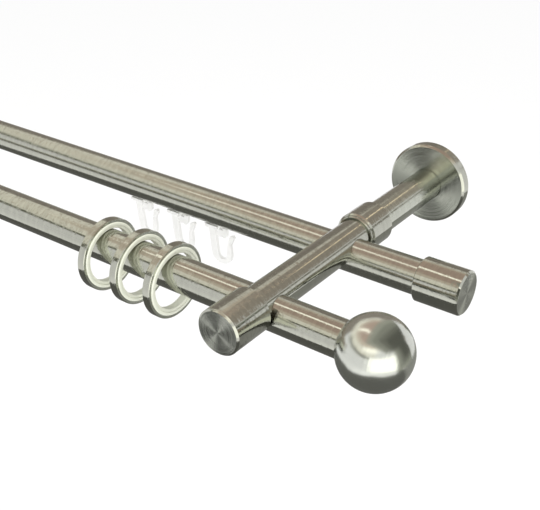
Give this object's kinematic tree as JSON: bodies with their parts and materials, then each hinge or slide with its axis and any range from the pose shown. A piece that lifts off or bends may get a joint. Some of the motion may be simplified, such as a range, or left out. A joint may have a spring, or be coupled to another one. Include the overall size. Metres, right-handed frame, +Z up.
{
  "type": "curtain rod",
  "caption": "Wall-mounted curtain rod set with a round tube for rings in front of a slotted inner-run track for gliders, on brackets with round arms.",
  "frame": {"origin": "centre of the right bracket's wall face, on the axis of its arm", "axes": "+X along the rods to the right end as seen from the room, +Y into the wall, +Z up"},
  "size_m": [1.0208, 0.2172, 0.0681],
  "materials": {
    "brushed_tube": "brushed around the tube, satin",
    "track_aluminium": "steel-look anodised, satin",
    "brushed_bar": "brushed around the bar, satin",
    "turned_steel": "turned, with polished chamfers",
    "ball_steel": "turned and satin polished",
    "ring_steel": "turned, with polished chamfers",
    "ring_plastic": "ivory, smooth",
    "glider_plastic": "white, smooth",
    "plate_steel": "zinc plated",
    "screw_steel": "dark steel"
  },
  "bodies": {
    "root": {"right_wall_plate": "plate_steel", "right_rosette": "turned_steel", "right_stub": "brushed_bar", "right_collar": "turned_steel", "right_arm": "brushed_bar", "right_arm_cap": "turned_steel", "right_ball": "ball_steel", "right_end_cap": "turned_steel", "left_wall_plate": "plate_steel", "left_rosette": "turned_steel", "left_stub": "brushed_bar", "left_collar": "turned_steel", "left_arm": "brushed_bar", "left_arm_cap": "turned_steel", "left_ball": "ball_steel", "left_end_cap": "turned_steel", "front_tube": "brushed_tube", "rear_track": "track_aluminium", "grub_screws": "screw_steel", "clamp_screws": "screw_steel"},
    "ring_3": {"ring_3_band": "ring_steel", "ring_3_insert": "ring_plastic"},
    "ring_2": {"ring_2_band": "ring_steel", "ring_2_insert": "ring_plastic"},
    "ring_1": {"ring_1_band": "ring_steel", "ring_1_insert": "ring_plastic"},
    "glider_3": {"glider_3": "glider_plastic"},
    "glider_2": {"glider_2": "glider_plastic"},
    "glider_1": {"glider_1": "glider_plastic"}
  },
  "joints": [
    {"name": "ring_3_slide", "type": "slide", "parent": "root", "child": "ring_3", "axis": [1, 0, 0], "range_m": [-0.242, 0.046]},
    {"name": "ring_2_slide", "type": "slide", "parent": "ring_3", "child": "ring_2", "axis": [1, 0, 0], "range_m": [-0.242, 0.0183]},
    {"name": "ring_1_slide", "type": "slide", "parent": "ring_2", "child": "ring_1", "axis": [1, 0, 0], "range_m": [-0.242, 0.0183]},
    {"name": "glider_3_slide", "type": "slide", "parent": "root", "child": "glider_3", "axis": [1, 0, 0], "range_m": [-0.247, 0.1188]},
    {"name": "glider_2_slide", "type": "slide", "parent": "glider_3", "child": "glider_2", "axis": [1, 0, 0], "range_m": [-0.247, 0.0018]},
    {"name": "glider_1_slide", "type": "slide", "parent": "glider_2", "child": "glider_1", "axis": [1, 0, 0], "range_m": [-0.247, 0.0018]}
  ]
}
